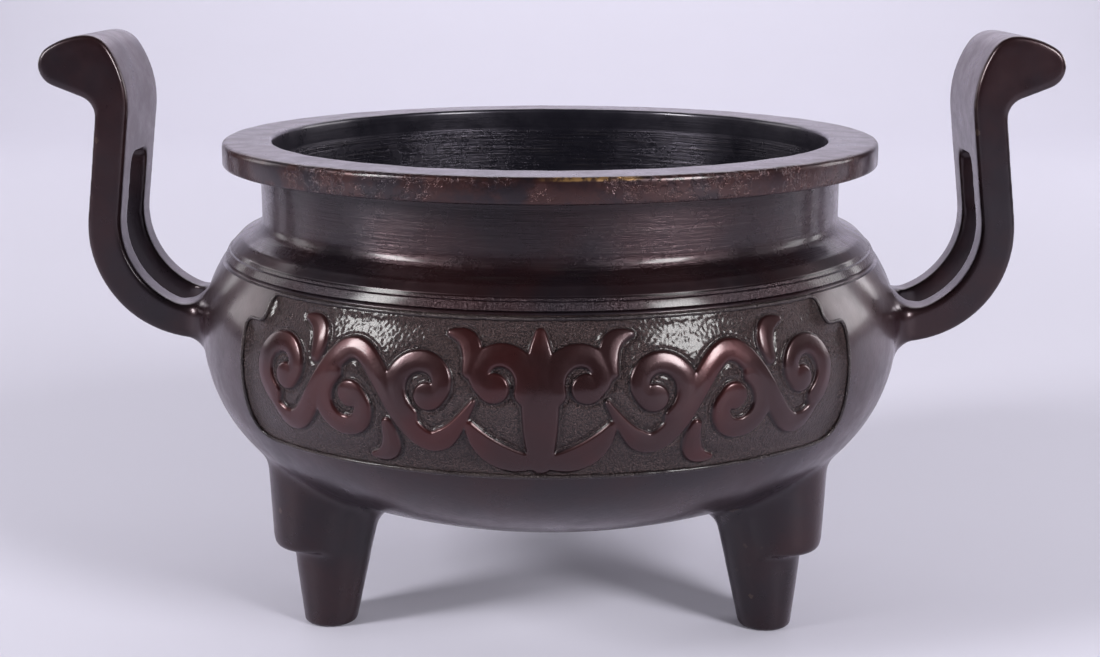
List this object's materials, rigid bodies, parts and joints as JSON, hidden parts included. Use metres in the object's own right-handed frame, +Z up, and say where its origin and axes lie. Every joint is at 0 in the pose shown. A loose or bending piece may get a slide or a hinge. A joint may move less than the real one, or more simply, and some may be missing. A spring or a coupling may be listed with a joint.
{
  "type": "tripod censer",
  "caption": "Low round bronze incense burner on tapering legs, with a waisted neck, a flat flaring rim and upright pierced handles that curl outwards.",
  "frame": {"origin": "on the bowl's axis, in the plane that the feet stand on", "axes": "+Z up along the bowl's axis; +X through the right handle; -Y faces the viewer and the front panel, between the two front legs"},
  "size_m": [0.2136, 0.1484, 0.123],
  "materials": {
    "bronze": "dark red-brown patina, waxed, semi-gloss"
  },
  "bodies": {
    "root": {"bowl": "bronze", "handle_left": "bronze", "handle_right": "bronze", "leg_front_left": "bronze", "leg_front_right": "bronze", "leg_rear": "bronze"}
  },
  "joints": []
}
